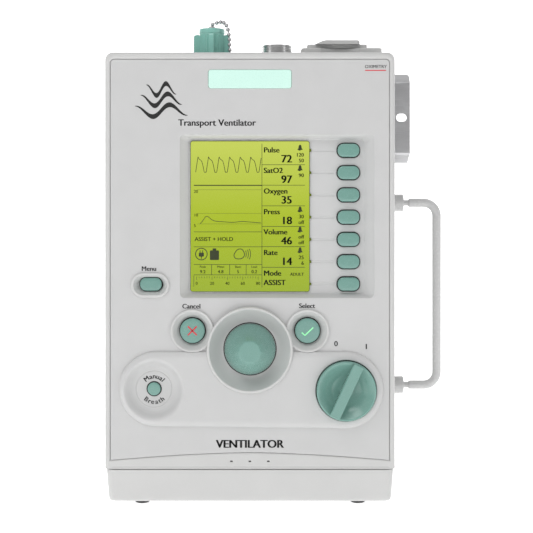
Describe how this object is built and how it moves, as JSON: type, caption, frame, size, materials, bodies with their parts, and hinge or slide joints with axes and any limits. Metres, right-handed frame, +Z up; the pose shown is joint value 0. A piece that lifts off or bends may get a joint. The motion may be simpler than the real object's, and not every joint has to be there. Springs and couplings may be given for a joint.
{
  "type": "portable ventilator",
  "caption": "Portable transport ventilator: white case with a lit screen, sea-green controls, gas connectors on top, a battery base and a side handle.",
  "frame": {"origin": "centre of the bounding box's base, on the plane of the rubber feet", "axes": "+Z up, -Y out of the control panel, +X towards the side handle"},
  "size_m": [0.2416, 0.114, 0.346],
  "materials": {
    "case_plastic": "fine satin moulded",
    "panel_plastic": "fine satin moulded",
    "control_plastic": "satin sea-green",
    "oxygen_green": "glossy green",
    "light_lens": "translucent, lit",
    "screen_glass": "backlit display window",
    "steel": "bright turned",
    "aluminium": "satin",
    "white_enamel": "gloss white",
    "black_rubber": "matte",
    "circuit_board": "green solder mask",
    "black_plastic": "matte",
    "filter_foam": "open-cell foam"
  },
  "bodies": {
    "case": {"front_casing": "case_plastic", "rear_casing": "case_plastic", "casing_seal": "black_rubber", "base_tray": "case_plastic", "battery_pack": "black_plastic", "foot_front_left": "black_rubber", "foot_front_right": "black_rubber", "foot_rear_left": "black_rubber", "foot_rear_right": "black_rubber", "control_panel": "panel_plastic", "light_bar_lens": "light_lens", "alarm_light_board": "circuit_board", "screen_window": "screen_glass", "lcd_module": "black_plastic", "keypad_board": "circuit_board", "encoder_body": "aluminium", "power_switch": "black_plastic", "connector_tray": "case_plastic", "exhalation_port": "steel", "transducer_port": "aluminium", "oxygen_fitting": "steel", "bead_chain": "steel", "chain_anchor": "steel", "gas_outlet": "steel", "intake_housing": "case_plastic", "lid_hinge_pin": "steel", "intake_filter": "filter_foam", "handle_bar": "white_enamel", "handle_boss_lower": "white_enamel", "handle_boss_upper": "white_enamel", "side_bracket": "aluminium", "bracket_screw_lower": "steel", "bracket_screw_upper": "steel", "chassis_plate": "aluminium", "main_board": "circuit_board", "gas_manifold": "aluminium", "blower_housing": "black_plastic", "blower_motor": "steel", "fan_frame": "black_plastic", "speaker": "black_plastic", "power_inlet": "steel", "data_port": "steel"},
    "heart_rate_key": {"heart_rate_button": "control_plastic"},
    "saturation_key": {"saturation_button": "control_plastic"},
    "oxygen_key": {"oxygen_button": "control_plastic"},
    "pressure_key": {"pressure_button": "control_plastic"},
    "volume_key": {"volume_button": "control_plastic"},
    "rate_key": {"rate_button": "control_plastic"},
    "mode_key": {"mode_button": "control_plastic"},
    "menu_key": {"menu_button": "control_plastic"},
    "cancel_key": {"cancel_button": "control_plastic"},
    "select_key": {"select_button": "control_plastic"},
    "manual_breath_key": {"manual_breath_button": "control_plastic"},
    "encoder_knob_body": {"encoder_knob": "control_plastic"},
    "power_knob_body": {"power_knob": "control_plastic"},
    "lid": {"intake_lid": "case_plastic"},
    "swivel": {"cap_swivel": "steel"},
    "cap": {"oxygen_cap": "oxygen_green"},
    "impeller": {"blower_impeller": "control_plastic"},
    "fan": {"fan_rotor": "black_plastic"}
  },
  "joints": [
    {"name": "heart_rate_press", "type": "slide", "parent": "case", "child": "heart_rate_key", "axis": [0, 1, 0], "range_m": [0, 0.0008], "stiffness_N_per_m": 1500},
    {"name": "saturation_press", "type": "slide", "parent": "case", "child": "saturation_key", "axis": [0, 1, 0], "range_m": [0, 0.0008], "stiffness_N_per_m": 1500},
    {"name": "oxygen_press", "type": "slide", "parent": "case", "child": "oxygen_key", "axis": [0, 1, 0], "range_m": [0, 0.0008], "stiffness_N_per_m": 1500},
    {"name": "pressure_press", "type": "slide", "parent": "case", "child": "pressure_key", "axis": [0, 1, 0], "range_m": [0, 0.0008], "stiffness_N_per_m": 1500},
    {"name": "volume_press", "type": "slide", "parent": "case", "child": "volume_key", "axis": [0, 1, 0], "range_m": [0, 0.0008], "stiffness_N_per_m": 1500},
    {"name": "rate_press", "type": "slide", "parent": "case", "child": "rate_key", "axis": [0, 1, 0], "range_m": [0, 0.0008], "stiffness_N_per_m": 1500},
    {"name": "mode_press", "type": "slide", "parent": "case", "child": "mode_key", "axis": [0, 1, 0], "range_m": [0, 0.0008], "stiffness_N_per_m": 1500},
    {"name": "menu_press", "type": "slide", "parent": "case", "child": "menu_key", "axis": [0, 1, 0], "range_m": [0, 0.0008], "stiffness_N_per_m": 1500},
    {"name": "cancel_press", "type": "slide", "parent": "case", "child": "cancel_key", "axis": [0, 1, 0], "range_m": [0, 0.0008], "stiffness_N_per_m": 1500},
    {"name": "select_press", "type": "slide", "parent": "case", "child": "select_key", "axis": [0, 1, 0], "range_m": [0, 0.0008], "stiffness_N_per_m": 1500},
    {"name": "manual_breath_press", "type": "slide", "parent": "case", "child": "manual_breath_key", "axis": [0, 1, 0], "range_m": [0, 0.0008], "stiffness_N_per_m": 1500},
    {"name": "encoder_turn", "type": "hinge", "parent": "case", "child": "encoder_knob_body", "pos_m": [-0.01925, -0.047, 0.1092], "axis": [0, -1, 0], "continuous": true},
    {"name": "power_turn", "type": "hinge", "parent": "case", "child": "power_knob_body", "pos_m": [0.04795, -0.044, 0.0809], "axis": [0, -1, 0], "range_deg": [0, 38]},
    {"name": "lid_hinge", "type": "hinge", "parent": "case", "child": "lid", "pos_m": [0.04375, 0.04, 0.327], "axis": [-1, 0, 0], "range_deg": [0, 110]},
    {"name": "cap_lift", "type": "slide", "parent": "case", "child": "swivel", "axis": [0, 0, 1], "range_m": [0, 0.0072], "deforming": ["bead_chain"]},
    {"name": "cap_turn", "type": "hinge", "parent": "swivel", "child": "cap", "pos_m": [-0.04765, 0.004, 0.33], "axis": [0, 0, 1], "range_deg": [0, 1800]},
    {"name": "impeller_spin", "type": "hinge", "parent": "case", "child": "impeller", "pos_m": [-0.06725, 0.025, 0.095], "axis": [0, 1, 0], "continuous": true},
    {"name": "fan_spin", "type": "hinge", "parent": "case", "child": "fan", "pos_m": [0.03075, 0.046, 0.092], "axis": [0, 1, 0], "continuous": true}
  ],
  "couplings": [
    {"joint": "cap_lift", "follows": "cap_turn", "m_per_rad": 0.00022457}
  ]
}
